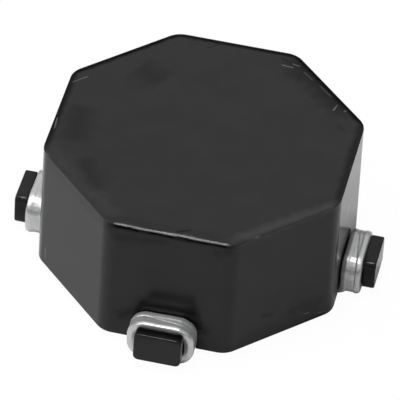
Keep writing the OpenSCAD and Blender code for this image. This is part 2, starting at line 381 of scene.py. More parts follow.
# Share times its rest is a quarter at the stroke's middle, so the fade is over well before it
inner = maths(stroke_mask, "MULTIPLY", share, maths(stroke_mask, "SUBTRACT", 1.0, share))
faded = maths(stroke_mask, "MULTIPLY", inner, END_FADE)
faded.node.use_clamp = True
mask = place(stroke_mask, "ShaderNodeMapRange", {
    "Value": away, "From Min": 0.0, "From Max": ragged, "To Max": 0.0,
    "To Min": maths(stroke_mask, "MULTIPLY", given["Strength"], faded),
})
stroke_mask.links.new(mask.outputs[0], made["Mask"])
print("effect:", stroke_mask.name)

# %% [markdown]
# ### Moulding compound
# The cap is moulded in black filled plastic. Its skin has a soft sheen and a very fine grain, and the edge
# round the roof is scuffed pale here and there. The sheen is a low specular level with a low roughness,
# which gives dull tops and a bright glance on walls that are seen at a slant.

# %% Marks on the cap
# A stroke has two ends, as x, y and depth under the roof, then its width and its strength, in millimetres
PALE_MARKS_AND_HIGHLIGHTS = (
    # The pale line along the front flash: partly rubbed wear, partly a painted highlight
    ((-1.4, -5.35, 0.09), (0.3, -5.35, 0.09), 0.05, 0.7),
    ((0.6, -5.35, 0.09), (2.5, -5.35, 0.09), 0.05, 0.6),
    # Painted highlights: soft pale bands along the front-right and front-left roof edges
    ((1.9, -5.35, 0.06), (5.6, -1.85, 0.06), 0.28, 0.09),
    ((-1.9, -5.35, 0.08), (-5.6, -1.85, 0.08), 0.6, 0.045),
    ((-5.22, 1.52, 0.03), (-4.7, 1.99, 0), 0.032, 0.4),
    ((-5.2, -1.1, 0.03), (-5.25, -0.4, 0.04), 0.035, 0.4),
    ((1.78, 4.53, 0), (2.28, 4.48, 0), 0.034, 0.6),
    ((2.16, 4.69, 0), (2.48, 4.63, 0), 0.034, 0.45),
    ((2.64, 4.38, 0), (3.08, 4.00, 0), 0.06, 0.14),
    ((3.32, 3.83, 0), (3.92, 3.28, 0), 0.045, 0.2),
    ((4.09, 2.53, 0), (4.2, 2.95, 0), 0.032, 0.45),
    ((4.49, 2.61, 0), (4.57, 2.77, 0), 0.04, 0.45),
    ((-5.03, -2.61, 4.3), (-5.02, -2.62, 4.9), 0.03, 0.6),
    ((4.5, -3.12, 4.67), (4.72, -2.9, 4.75), 0.03, 0.3),
    ((4.9, -2.72, 4.89), (5.27, -2.35, 5.01), 0.03, 0.3),
)
DARK_MARKS_AND_SHADE = (
    ((1.9, 5.15, 0), (4.8, 2.4, 0), 0.8, 0.9),
    ((1.65, 4.92, 0), (2.33, 4.61, 0), 0.08, 1.0),
    ((2.16, 4.5, 0), (2.66, 4.54, 0), 0.08, 1.0),
    ((2.88, 3.97, 0), (3.16, 3.81, 0), 0.13, 1.0),
    ((3.9, 2.8, 0), (4.14, 3.12, 0), 0.06, 1.0),
    ((4.2, 2.8, 0), (4.7, 2.2, 0), 0.1, 0.6),
    ((4.35, 1.87, 0), (4.78, 1.52, 0), 0.1, 0.5),
    ((-4.5, 2.72, 0), (-4.1, 3.05, 0), 0.07, 1.0),
    ((-1.05, 4.66, 0), (-0.57, 5.05, 0), 0.045, 0.9),
    ((-1.76, 4.98, 0), (-1.4, 5.03, 0), 0.05, 0.6),
    # Painted shadow: the dark line on the wall under the front lip
    ((-3.0, -5.32, 0.19), (3.0, -5.32, 0.19), 0.16, 1.0),
    ((-4.6, 0.5, 0), (-4.4, -1.7, 0), 0.85, 0.5),
    ((-3.9, -2.3, 0), (-2.9, -4.0, 0), 0.75, 0.5),
    ((-3.2, 3.0, 0), (-2.0, 2.4, 0), 0.95, 0.45),
    ((0.08, -5.26, 0.05), (0.7, -4.98, 0), 0.06, 1.0),
    # Painted shade: the top of the front-left wall, under its roof edge
    ((-1.6, -5.98, 0.28), (-6.2, -1.38, 0.28), 0.38, 1.0),
    # Painted shade: the front-right wall, darker towards its foot
    ((3.18, -4.44, 3.9), (3.65, -3.98, 4.13), 0.12, 0.7),
    ((3.95, -3.68, 4.22), (5.1, -2.52, 4.34), 0.55, 0.6),
    ((2.9, -4.72, 5.24), (5.55, -2.08, 5.0), 0.1, 0.8),
    ((-2.3, -5.37, 0.67), (0.1, -5.37, 0.43), 0.3, 0.5),
    ((1.5, -5.37, 0.6), (2.25, -5.37, 0.32), 0.28, 0.5),
    # Painted shade: a dark arch in the wall over the front wrap
    ((-1.75, -5.38, 4.42), (-0.45, -5.38, 3.32), 0.34, 1.0),
    ((-1.2, -5.38, 3.5), (1.3, -5.38, 3.5), 0.42, 1.0),
    ((0.35, -5.38, 3.35), (1.6, -5.38, 4.4), 0.34, 1.0),
    # Painted shade: the top of the front lug's head, under the wrap
    ((-1.6, -6.32, 3.84), (1.6, -6.32, 3.84), 0.4, 1.0),
    # Painted shade: the heads of the right and left lugs
    ((6.4, -1.7, 4.3), (6.4, 1.7, 4.3), 0.9, 0.8),
    ((-6.4, -1.7, 4.3), (-6.4, 1.7, 4.3), 0.9, 0.8),
)
RIM_IN, RIM_BELOW, RIM_W, RIM_REACH = 0.12, 0.03, 0.22, 2.9
SHADED_RIMS = 5


def rim_shade_stroke(k):
    """Painted shade along one side of the roof's edge, a dark reflection, counted in eighths of a turn from
    +X.
    """
    turned = Matrix.Rotation(math.pi / 4 * k, 2)
    ends = [turned @ Vector((roof_half - RIM_IN, way * RIM_REACH)) for way in (-1, 1)]
    return *((end.x, end.y, RIM_BELOW) for end in ends), RIM_W, 1.0


# Painted shade: dark rims along the roof's edges on the right, back and left, a painted dark reflection
DARK_MARKS_AND_SHADE += tuple(rim_shade_stroke(k) for k in range(SHADED_RIMS))
print(f"marks: {len(PALE_MARKS_AND_HIGHLIGHTS)} pale and {len(DARK_MARKS_AND_SHADE)} dark")

# %% Moulding
SCUFFED = 0.18


def stroked(tree, strokes):
    """The strongest of several strokes, as a mask."""
    most = 0.0
    for *ends, width, strength in strokes:
        start, end = ((x * MM, y * MM, (roof_z - below) * MM) for x, y, below in ends)
        mask = use(tree, stroke_mask, Start=start, End=end, Width=width * MM, Strength=strength)
        most = maths(tree, "MAXIMUM", mask, most)
    return most


moulding, tree, shader, plain = finish(
    "moulding", tone=(900.0, (0.0172, 0.0174, 0.0177), (0.0206, 0.0208, 0.0212)),
    rough=(2500.0, 0.14, 0.19), relief=(22000.0, 0.000002), values={"Specular IOR Level": 0.13},
)
# Dark strokes are rubbed patches and painted shade, pale strokes are wear, scratches and painted highlights
rubbed_and_shaded = tint(tree, stroked(tree, DARK_MARKS_AND_SHADE), plain, (0.0015, 0.0015, 0.0015))
scuffs_and_highlights = maths(tree, "MULTIPLY", use(tree, wear, Scale=1500.0, Cover=0.4), SCUFFED)
scuffs_and_highlights = maths(tree, "MAXIMUM", scuffs_and_highlights, stroked(tree, PALE_MARKS_AND_HIGHLIGHTS))
tree.links.new(tint(tree, scuffs_and_highlights, rubbed_and_shaded, (0.30, 0.303, 0.306)), shader.inputs["Base Color"])

# %% [markdown]
# ### Solder, wire, ferrite and adhesive
# Dipped solder is a satin metal whose brightness drifts where it froze at different speeds. The winding
# wire is copper under a clear enamel, so it gets a coat. Fired ferrite is dark and speckled, with small
# chips on its edges, under a thin coating. The adhesive is a pale amber epoxy.

# %% Other finishes
tin, *_ = finish(
    "tin", tone=(1400.0, (0.44, 0.443, 0.447), (0.55, 0.553, 0.557)),
    rough=(4000.0, 0.28, 0.42), relief=(6000.0, 0.000006), values={"Metallic": 0.62},
)
enamelled_wire, *_ = finish(
    "enamelled_wire", tone=(2200.0, (0.34, 0.085, 0.028), (0.50, 0.16, 0.055)),
    rough=(5000.0, 0.22, 0.36), relief=(9000.0, 0.000002),
    values={"Metallic": 1.0, "Coat Weight": 0.6, "Coat Roughness": 0.12},
)
ferrite, tree, shader, plain = finish(
    "ferrite", tone=(7000.0, (0.045, 0.046, 0.049), (0.085, 0.086, 0.091)),
    rough=(9000.0, 0.45, 0.6), relief=(14000.0, 0.000005), values={"Coat Weight": 0.25},
)
chips = use(tree, wear, Scale=2600.0, Cover=0.45)
tree.links.new(tint(tree, chips, plain, (0.16, 0.16, 0.165)), shader.inputs["Base Color"])
resin, *_ = finish(
    "resin", tone=(1800.0, (0.52, 0.44, 0.27), (0.68, 0.61, 0.43)),
    rough=(3000.0, 0.2, 0.34), relief=(2500.0, 0.00001),
)

# %% [markdown]
# ## Lofting
# Almost every form here is a stack of rounded outlines joined by quads. The outline helper rounds the
# corners of any convex polygon with arcs, and puts a guard point on the straight beside each arc. The guard
# points keep the smooth shading of the arc from leaking over the flat faces.

# %% Outlines
GUARD = 0.02


def rounded(corners, radius, steps):
    """The corners of a convex polygon, each replaced by an arc with a guard point at both ends."""
    points = []
    for i, corner in enumerate(corners):
        before = (corners[i - 1] - corner).normalized()
        after = (corners[(i + 1) % len(corners)] - corner).normalized()
        half_angle = before.angle(after) / 2
        centre = corner + (before + after).normalized() * radius / math.sin(half_angle)
        reach = radius / math.tan(half_angle)
        points.append(corner + before * (reach + GUARD))
        start = corner + before * reach - centre
        sweep = math.pi - 2 * half_angle
        for step in range(steps + 1):
            points.append(centre + Matrix.Rotation(sweep * step / steps, 2) @ start)
        points.append(corner + after * (reach + GUARD))
    return points


def octagon(half, radius, steps=10):
    """A regular octagon with flats towards X and Y, by its half width across flats."""
    ring = half / math.cos(math.pi / 8)
    angles = [math.pi / 8 + math.pi / 4 * k for k in range(8)]
    return rounded([Vector((ring * math.cos(a), ring * math.sin(a))) for a in angles], radius, steps)


def soft_rect(width, height, radius, steps=6):
    """A rectangle with rounded corners, centred on the origin."""
    w, h = width / 2, height / 2
    return rounded([Vector(p) for p in ((w, -h), (w, h), (-w, h), (-w, -h))], radius, steps)


# %% Lofts and copies
def loft(rings, endless=False):
    """A closed mesh over rings of points, with flat caps or with its last ring joined to its first."""
    mesh = bpy.data.meshes.new("loft")
    work = bmesh.new()
    rows = [[work.verts.new(p) for p in ring] for ring in rings]
    count = len(rows[0])
    for low, high in zip(rows, rows[1:] + rows[:1] if endless else rows[1:]):
        for i in range(count):
            j = (i + 1) % count
            work.faces.new((low[i], low[j], high[j], high[i]))
    if not endless:
        work.faces.new(rows[0])
        work.faces.new(rows[-1])
    bmesh.ops.recalc_face_normals(work, faces=work.faces)
    work.to_mesh(mesh)
    work.free()
    return mesh


def joined(meshes):
    """Several meshes as one."""
    mesh = bpy.data.meshes.new("joined")
    work = bmesh.new()
    for part in meshes:
        work.from_mesh(part)
    work.to_mesh(mesh)
    work.free()
    return mesh


def turned_copy(mesh, angle):
    """A copy of a mesh, turned about the part's axis."""
    copy = mesh.copy()
    copy.transform(Matrix.Rotation(angle, 4, "Z"))
    return copy


# %% [markdown]
# ## From working mesh to finished piece
# Modifiers are worked out by evaluating the object, and the result becomes a plain mesh. A finished piece
# is then shrunk to metres, shaded smooth except on sharp edges, and told which body it moves with, which
# solid it stands for and which finish it takes.

# %% Modifiers
def worked_out(work):
    """The plain mesh that an object's modifiers give. The object is then taken away."""
    result = bpy.data.meshes.new_from_object(work.evaluated_get(bpy.context.evaluated_depsgraph_get()))
    work.modifiers.clear()
    bpy.data.objects.remove(work)
    return result


def baked(mesh, *steps):
    """A mesh after modifiers. Each step is a modifier's kind and its settings."""
    work = add_object("work", mesh)
    for kind, settings in steps:
        step = work.modifiers.new(kind, kind)
        for name, value in settings.items():
            setattr(step, name, value)
    return worked_out(work)


def combined(mesh, tool, operation):
    """A mesh with another one joined to it or cut out of it."""
    cutter = add_object("cutter", tool)
    result = baked(mesh, ("BOOLEAN", {"operation": operation, "object": cutter, "solver": "EXACT"}))
    bpy.data.objects.remove(cutter)
    return result


# %% Handing over a piece
def store(mesh, name, numbers):
    """Store a number on each point of a mesh, for node trees to read."""
    mesh.attributes.new(name, "FLOAT", "POINT").data.foreach_set("value", numbers)


def piece(name, mesh, material, sharp=35):
    """Shrink a mesh to metres and hand it over as the piece that stands for the solid of that name."""
    mesh.name = name
    mesh.transform(Matrix.Scale(MM, 4))
    mesh.materials.clear()
    mesh.materials.append(material)
    mesh.shade_smooth()
    mesh.set_sharp_from_angle(angle=math.radians(sharp))
    made_piece = add_object(name, mesh)
    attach(made_piece, "root")
    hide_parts(name)
    print(f"piece {name}: {len(mesh.vertices)} points, {len(mesh.polygons)} faces")


# %% [markdown]
# ## The cap
# The cap is a thin-walled octagon, open below. Its walls lean in by half a degree, so that it comes out of
# its mould. One loft makes it: the outline starts on the ceiling, runs down the inside, turns under the rim
# and climbs the outside to the roof. A box with a Solidify modifier could do it too, but the loft gives the
# lean and the edges as well.

# %% Cap shell
CORNER_R = 0.8
LEAN_STOP = 0.22
RIM_EDGE_R = 0.06
RIM_STEPS = 3
INNER_CORNER_R = 0.15
ROOF_T = 0.7
STRAIGHT_PARTS = 40
STRAIGHT_MIN = 1.0


def arc(steps, sweep=math.pi / 2):
    """Cosine and sine along an arc, a quarter of a circle if nothing else is said."""
    angles = [sweep * i / steps for i in range(steps + 1)]
    return [(math.cos(a), math.sin(a)) for a in angles]


def divided(points):
    """An outline with points added along its long straights, so that they can be bent."""
    result = []
    for here, there in zip(points, points[1:] + points[:1]):
        parts = STRAIGHT_PARTS if (there - here).length > STRAIGHT_MIN else 1
        result += [here.lerp(there, i / parts) for i in range(parts)]
    return result


def level_ring(half, radius, z):
    """A level octagon with round corners, by its half width across flats."""
    return [Vector((p.x, p.y, z)) for p in divided(octagon(half, radius))]


def wall_at(z):
    """Half width of the leaning walls at a height."""
    share = (z - rim_z) / (roof_z - LEAN_STOP - rim_z)
    return wall_face + (roof_half - wall_face) * min(max(share, 0), 1)


def outer_ring(inset, z):
    """The outside of the walls at a height, moved in a little."""
    return level_ring(wall_at(z) - inset, CORNER_R - inset, z)


def inner_ring(inset, z):
    """The inside of the walls at a height, moved into them a little."""
    return level_ring(inner_half + inset, INNER_CORNER_R + inset, z)


ceiling_z = roof_z - ROOF_T
shell = [inner_ring(0, ceiling_z), inner_ring(0, rim_z + RIM_EDGE_R + GUARD)]
shell += [inner_ring(RIM_EDGE_R * (1 - c), rim_z + RIM_EDGE_R * (1 - s)) for c, s in arc(RIM_STEPS)]
shell += [outer_ring(RIM_EDGE_R * (1 - s), rim_z + RIM_EDGE_R * (1 - c)) for c, s in arc(RIM_STEPS)]
shell += [outer_ring(0, rim_z + RIM_EDGE_R + GUARD)]
print(f"cap shell: {len(shell)} rings up to the foot of the walls")

# %% [markdown]
# ### The roof's margin
# The roof falls away a little along its margin and ends in a crisp edge. In front, a thin uneven lip of flash
# stands over the wall, where the mould's halves didn't quite close. A Bevel modifier would round the edge
# evenly, so the loft goes on row by row instead: up over the edge, then along a shallow curve to the flat.
# Noise along the front makes the lip's height and its undercut uneven.

# %% Roof margin
MARGIN_W = 0.44
MARGIN_DROP = 0.09
MARGIN_STEPS = 6
ARRIS_R = 0.04
ARRIS_STEPS = 4
LIP_H = 0.14
LIP_DEPTH = 0.09
LIP_FADE = 0.06
LIP_WAVE, LIP_WAVE_SCALE = 0.02, 0.9
LIP_RAGGED, LIP_RAGGED_SCALE, LIP_RAGGED_AT = 0.5, 1.6, 5
UNDERCUT_ROW = 2
corner_line = outer_ring(0, roof_z)


def roof_rows():
    """Inset, depth and share of the margin's drop for each row, from the wall up to the flat roof."""
    tilt = math.atan(2 * MARGIN_DROP / MARGIN_W)
    start = ARRIS_R * (1 - math.sin(tilt))
    share = (1 - start / MARGIN_W) ** 2
    foot = ARRIS_R * math.cos(tilt)
    rows = [(0, foot + LIP_H + GUARD, share), (0, foot + LIP_H, share), (0, foot + GUARD / 2, share)]
    for i in range(ARRIS_STEPS + 1):
        a = math.pi / 2 + (tilt - math.pi / 2) * i / ARRIS_STEPS
        rows.append((ARRIS_R * (1 - math.sin(a)), foot - ARRIS_R * math.cos(a), share))
    for i in range(1, MARGIN_STEPS + 1):
        inset = start + (MARGIN_W - start) * i / MARGIN_STEPS
        rows.append((inset, 0, (1 - inset / MARGIN_W) ** 2))
    return rows + [(MARGIN_W + GUARD, 0, 0)]


def in_front(p):
    """1 along the front edge of the roof, fading to 0 round its two corners."""
    return min(max((LIP_FADE - roof_half - p.y) / LIP_FADE, 0), 1)


def roof_row(inset, depth, share, undercut):
    """One ring of the roof's edge. In front its height waves, and the row under the lip is set back."""
    ring = outer_ring(inset, roof_z)
    for p, corner in zip(ring, corner_line):
        wave = noise.noise(Vector((corner.x * LIP_WAVE_SCALE, 0, 0)))
        p.z -= depth + share * (MARGIN_DROP + LIP_WAVE * wave * in_front(corner))
        if undercut:
            ragged_at = Vector((corner.x * LIP_RAGGED_SCALE, LIP_RAGGED_AT, 0))
            p.y += LIP_DEPTH * (1 + LIP_RAGGED * noise.noise(ragged_at)) * in_front(corner)
    return ring


shell += [roof_row(*row, undercut=n == UNDERCUT_ROW) for n, row in enumerate(roof_rows())]
cap = loft(shell)
print(f"cap shell with its roof: {len(cap.vertices)} points")

# %% [markdown]
# ## Lugs and notches
# Each of four walls has a lug for a wire end, with a neck that carries the wire and a head that keeps it on.
# Beside the lug a notch in the rim lets the wire out. The notches are cut with a boolean, which is how the
# mould's inserts shape them, and the lugs are then joined on.

# %% Lug sizes
WIRE_D = 0.36
WRAP_GAP = 0.01
LUG_W = 1.7
NECK_H = 0.93
NECK_R = 0.33
HEAD_RISE = 0.26
HEAD_DROP = 0.02
HEAD_T = 0.45
HEAD_R = 0.2
HEAD_EDGE_R = 0.06
SEAT_FLAT = 0.03

neck_low_z = WIRE_D + WRAP_GAP - SEAT_FLAT
neck_high_z = neck_low_z + NECK_H
head_face = head_end - HEAD_T
print(f"lug: neck {neck_low_z:.2f} to {neck_high_z:.2f} mm up, head {head_face:.2f} mm out")


def upright_ring(outline, x, z):
    """An outline that stands across the lug, at a distance from the centre and a middle height."""
    return [Vector((x, p.x, z + p.y)) for p in outline]


# %% Lugs
HEAD_BACK_R = 0.03
HEAD_BACK_STEPS = 3
HEAD_EDGE_STEPS = 5
NECK_SLIM = 0.01
LUG_ROOT = 0.3
neck_z = neck_low_z + NECK_H / 2
head_h = HEAD_DROP + NECK_H + HEAD_RISE
head_z = neck_low_z - HEAD_DROP + head_h / 2
neck = soft_rect(LUG_W - 2 * NECK_SLIM, NECK_H, NECK_R)


def head(inset):
    """The head's outline, moved in a little."""
    return soft_rect(LUG_W - 2 * inset, head_h - 2 * inset, HEAD_R - inset)


lug_rings = [upright_ring(neck, x, neck_z) for x in (inner_half + LUG_ROOT, head_face - GUARD)]
lug_rings += [
    upright_ring(head(HEAD_BACK_R * (1 - s)), head_face + HEAD_BACK_R * (1 - c), head_z)
    for c, s in arc(HEAD_BACK_STEPS)
]
lug_rings += [
    upright_ring(head(HEAD_EDGE_R * (1 - c)), head_end - HEAD_EDGE_R * (1 - s), head_z)
    for c, s in arc(HEAD_EDGE_STEPS)
]
lug_rings += [upright_ring(head(HEAD_EDGE_R + GUARD), head_end, head_z)]
lug = loft(lug_rings)
lugs = joined([turned_copy(lug, LUG_TURN * k) for k in range(len(LUGS))])
print(f"lugs: {len(lugs.vertices)} points")

# %% Notches
EXIT_BEND_R = 0.34
EXIT_ANGLE = math.radians(15)
NOTCH_GAP = 0.04
ARCH_STEPS = 12
CUT_OVER = 0.5
wrap_lay = WRAP_GAP + WIRE_D / 2
wrap_bend_r = NECK_R + wrap_lay
corner_u = LUG_W / 2 - NECK_R
low_corner_z = neck_low_z + NECK_R
high_corner_z = neck_high_z - NECK_R
exit_climb = Vector((math.sin(EXIT_ANGLE), math.cos(EXIT_ANGLE))) * EXIT_BEND_R
exit_u = corner_u + wrap_bend_r * math.cos(EXIT_ANGLE) - exit_climb.x
exit_z = low_corner_z - wrap_bend_r * math.sin(EXIT_ANGLE) - exit_climb.y

# The bend begins inside the wall, so the notch rises over the inner side of the bend
bend_clear = math.sqrt(WRAP_GAP * (2 * (EXIT_BEND_R - wrap_lay) + WRAP_GAP))
notch_z = exit_z + EXIT_BEND_R - bend_clear - WIRE_D / 2


def notch_side(k):
    """The notch lies on the side of its lug that is nearer to its winding."""
    return -1 if k % 2 == 0 else 1


notch_r = WIRE_D / 2 + NOTCH_GAP
arch = [Vector((notch_r * c, notch_r * s)) for c, s in arc(ARCH_STEPS, math.pi)]
arch += [Vector((-notch_r, -notch_z)), Vector((notch_r, -notch_z))]
notch_list = []
for k in range(len(LUGS)):
    outline = [p + Vector((notch_side(k) * exit_u, 0)) for p in arch]
    ends = (inner_half - CUT_OVER, wall_face + CUT_OVER)
    notch = loft([upright_ring(outline, x, notch_z) for x in ends])
    notch_list.append(turned_copy(notch, LUG_TURN * k))
notches = joined(notch_list)
print(f"wire leaves at {exit_u:.3f} mm beside the lug's middle, {exit_z:.3f} mm up")

# %% The case
cap = combined(cap, notches, "DIFFERENCE")
cap = combined(cap, lugs, "UNION")


def roof_edge(p):
    """About 1 on the edge round the roof, fading to 0 over the margin."""
    across = max(abs(p.x), abs(p.y), (abs(p.x) + abs(p.y)) / math.sqrt(2))
    return max(0.0, 1 - ((roof_half - across) + (roof_z - p.z)) / MARGIN_W)


store(cap, "edge", [roof_edge(vertex.co) for vertex in cap.vertices])
piece("case", cap, moulding)

# %% [markdown]
# ## The ferrite ring
# The ring is pressed powder, fired and tumbled, so its edges are round. It is turned from one section, as
# on a lathe, and its edges carry the wear value for the chips.

# %% Core
CORE_HOLE_R = 1.9
CORE_EDGE_R = 0.3
CORE_EDGE_STEPS = 8
RING_STEPS = 128
core_r = core_high.x
core_h = core_high.z - core_low.z
section = soft_rect(core_r - CORE_HOLE_R, core_h, CORE_EDGE_R, CORE_EDGE_STEPS)
core_mid = Vector(((core_r + CORE_HOLE_R) / 2, (core_low.z + core_high.z) / 2))


def polar(r, angle, z):
    """A point by its distance from the part's axis, its angle and its height."""
    return Vector((r * math.cos(angle), r * math.sin(angle), z))


core_rings = []
for k in range(RING_STEPS):
    angle = 2 * math.pi * k / RING_STEPS
    core_rings.append([polar(core_mid.x + p.x, angle, core_mid.y + p.y) for p in section])
core_mesh = loft(core_rings, endless=True)


def core_edge(p):
    """1 on the round edges of the ring and 0 on its flats."""
    r = math.hypot(p.x, p.y)
    to_side = min(core_r - r, r - CORE_HOLE_R)
    to_end = min(core_high.z - p.z, p.z - core_low.z)
    return max(0.0, 1 - max(to_side, to_end) / CORE_EDGE_R)


store(core_mesh, "edge", [core_edge(vertex.co) for vertex in core_mesh.vertices])
piece("core", core_mesh, ferrite)

# %% [markdown]
# ## Round wire
# Everything wound is a round wire along a path, so one Geometry Nodes group sweeps a circle along any
# curve. The thickness and the number of sides are named inputs.

# %% Wire sweep group
sweep_inputs = {"Curve": "Geometry", "Sides": "Int"} | floats("Wire diameter")
round_wire, given, made = node_group("round_wire", "Geometry", sweep_inputs, {"Mesh": "Geometry"})
circle = place(round_wire, "GeometryNodeCurvePrimitiveCircle", {
    "Resolution": given["Sides"], "Radius": maths(round_wire, "MULTIPLY", given["Wire diameter"], 0.5),
})
tube = place(round_wire, "GeometryNodeCurveToMesh", {
    "Curve": given["Curve"], "Profile Curve": circle.outputs[0], "Fill Caps": True,
})
round_wire.links.new(tube.outputs[0], made["Mesh"])


def end_in_wire(tree, curve, given, made, sides):
    """The end of a tree: the sweep along its curve, made real and given its finish."""
    swept = place(tree, "GeometryNodeGroup", {
        "Curve": curve, "Wire diameter": given["Wire diameter"], "Sides": sides,
    }, node_tree=round_wire)
    whole = place(tree, "GeometryNodeRealizeInstances", {"Geometry": swept.outputs[0]})
    dressed = place(tree, "GeometryNodeSetMaterial", {
        "Geometry": whole.outputs[0], "Material": given["Finish"],
    })
    tree.links.new(dressed.outputs[0], made["Mesh"])
    print("geometry group:", tree.name)


# %% [markdown]
# ## The windings
# A turn is a rounded rectangle round the ring's section, and the winding is that rectangle walked round
# and round while it creeps along the ring. Geometry Nodes follow this rule directly: a row of points, one
# for every step of every turn, samples a filleted rectangle for its radius and height, and takes its angle
# from its number. The two lead-outs are loose points with an order number each. Sorted with the turns by
# that number they become one spline, so each winding is one unbroken wire.

# %% Winding rule: one turn
TURN_BEND_STEPS = 10
rule_inputs = {"Lead points": "Geometry", "Steps per turn": "Int", "Finish": "Material"} | floats(
    "Turns", "Start angle", "Turn angle", "Section width", "Section height", "Section radius",
    "Section level", "Bend radius", "Start share", "Wire diameter",
)
rule, given, made = node_group("winding_rule", "Geometry", rule_inputs, {"Mesh": "Geometry"})
box_curve = place(rule, "GeometryNodeCurvePrimitiveQuadrilateral", {
    "Width": given["Section width"], "Height": given["Section height"],
})
turn_curve = place(rule, "GeometryNodeFilletCurve", {
    "Curve": box_curve.outputs[0], "Radius": given["Bend radius"], "Count": TURN_BEND_STEPS,
}, mode="POLY")
print(f"{rule.name}: {len(rule_inputs)} inputs")

# %% Winding rule: points of all turns
count = maths(rule, "MULTIPLY", given["Turns"], given["Steps per turn"])
dots = place(rule, "GeometryNodePoints", {"Count": maths(rule, "ADD", count, 1.0)})
index = place(rule, "GeometryNodeInputIndex").outputs[0]
turned = maths(rule, "DIVIDE", index, given["Steps per turn"])
share = maths(rule, "FRACT", maths(rule, "ADD", turned, given["Start share"]))
sample = place(rule, "GeometryNodeSampleCurve", {
    "Curves": turn_curve.outputs[0], "Factor": share,
}, mode="FACTOR", use_all_curves=True)
on_section = place(rule, "ShaderNodeSeparateXYZ", {0: sample.outputs["Position"]})
radius = maths(rule, "ADD", on_section.outputs["X"], given["Section radius"])
height = maths(rule, "ADD", on_section.outputs["Y"], given["Section level"])
angle = maths(rule, "MULTIPLY_ADD", turned, given["Turn angle"])
rule.links.new(given["Start angle"], angle.node.inputs[2])
spot = place(rule, "ShaderNodeCombineXYZ", {
    "X": maths(rule, "MULTIPLY", radius, maths(rule, "COSINE", angle)),
    "Y": maths(rule, "MULTIPLY", radius, maths(rule, "SINE", angle)),
    "Z": height,
})
wound = place(rule, "GeometryNodeSetPosition", {
    "Geometry": dots.outputs[0], "Position": spot.outputs[0],
})
numbered = place(rule, "GeometryNodeStoreNamedAttribute", {
    "Geometry": wound.outputs[0], "Name": "order", "Value": turned,
}, data_type="FLOAT", domain="POINT")
print(f"{rule.name}: {len(rule.nodes)} nodes")

# %% Winding rule: one wire
WINDING_SIDES = 14
leads = place(rule, "GeometryNodeMeshToPoints", {"Mesh": given["Lead points"]})
gathered = place(rule, "GeometryNodeJoinGeometry")
for part in (leads, numbered):
    rule.links.new(part.outputs[0], gathered.inputs[0])
order = place(rule, "GeometryNodeInputNamedAttribute", {"Name": "order"}, data_type="FLOAT")
spline = place(rule, "GeometryNodePointsToCurves", {
    "Points": gathered.outputs[0], "Weight": order.outputs[0],
})
end_in_wire(rule, spline.outputs[0], given, made, WINDING_SIDES)

# %% Winding sizes
CORE_GAP = 0.03
TURNS = 11
WOUND_ANGLE = math.radians(150)
STEPS_PER_TURN = 44
STEPS_LEFT_OFF = 4
wire_lay = CORE_GAP + WIRE_D / 2
leg_in_r = CORE_HOLE_R - wire_lay
leg_out_r = core_r + wire_lay
low_wire_z = core_low.z - wire_lay
high_wire_z = core_high.z + wire_lay
wound_bend_r = CORE_EDGE_R + wire_lay
wound_start = (LUG_TURN - WOUND_ANGLE) / 2
turn_angle = WOUND_ANGLE / TURNS
side_run = high_wire_z - low_wire_z - 2 * wound_bend_r
level_run = leg_out_r - leg_in_r - 2 * wound_bend_r
round_run = 2 * (side_run + level_run) + 2 * math.pi * wound_bend_r

# The last turn stops below the ring, where the wire leaves the hole
turns_made = TURNS - math.floor(STEPS_PER_TURN * level_run / round_run + STEPS_LEFT_OFF) / STEPS_PER_TURN
print(f"each winding: {TURNS} turns of {round_run:.1f} mm, {math.degrees(turn_angle):.1f} degrees apart")

# %% Lead-outs
LEAD_ROOM = 0.51
LEAD_STEPS = 20
LEAD_SIDEWAYS = 0.125


def bezier(a, b, c, d):
    """Points along a cubic curve."""
    points = []
    for i in range(LEAD_STEPS + 1):
        t = i / LEAD_STEPS
        s = 1 - t
        points.append(s * s * s * a + 3 * s * s * t * b + 3 * s * t * t * c + t * t * t * d)
    return points


lead_stub = Vector((WIRE_D / 4, 0, 0))
notch_in = Vector((inner_half, notch_side(0) * exit_u, exit_z))
coil_start = polar(leg_out_r, wound_start, low_wire_z + wound_bend_r)
lead_in = [notch_in] + bezier(
    notch_in - lead_stub, notch_in - lead_stub - Vector((LEAD_ROOM, 0, 0)),
    Vector((coil_start.x, coil_start.y, exit_z)), coil_start,
)[:-1]
quarter_turn = Matrix.Rotation(LUG_TURN, 3, "Z")
notch_out = quarter_turn @ Vector((inner_half, notch_side(1) * exit_u, exit_z))
stub_out = quarter_turn @ lead_stub
coil_end = polar(leg_in_r + wound_bend_r, wound_start + turn_angle * turns_made, low_wire_z)
under_angle = wound_start + WOUND_ANGLE - turn_angle * LEAD_SIDEWAYS
under = polar(leg_out_r - wound_bend_r, under_angle, low_wire_z)
before_notch = notch_out - stub_out - quarter_turn @ Vector((LEAD_ROOM + WIRE_D, 0, 0))
lead_out = bezier(coil_end, under, before_notch, notch_out - stub_out)[1:] + [notch_out]
orders = [(i - len(lead_in)) / len(lead_in) for i in range(len(lead_in))]
orders += [turns_made + (i + 1) / len(lead_out) for i in range(len(lead_out))]
print(f"lead-outs: {len(lead_in)} and {len(lead_out)} points")

# %% Windings
winding_sizes = {
    "Turns": turns_made, "Steps per turn": STEPS_PER_TURN,
    "Start angle": wound_start, "Turn angle": turn_angle,
    "Section width": leg_out_r - leg_in_r, "Section height": high_wire_z - low_wire_z,
    "Section radius": (leg_out_r + leg_in_r) / 2, "Section level": (high_wire_z + low_wire_z) / 2,
    "Bend radius": wound_bend_r, "Start share": 1 - side_run / round_run, "Wire diameter": WIRE_D,
    "Finish": enamelled_wire,
}


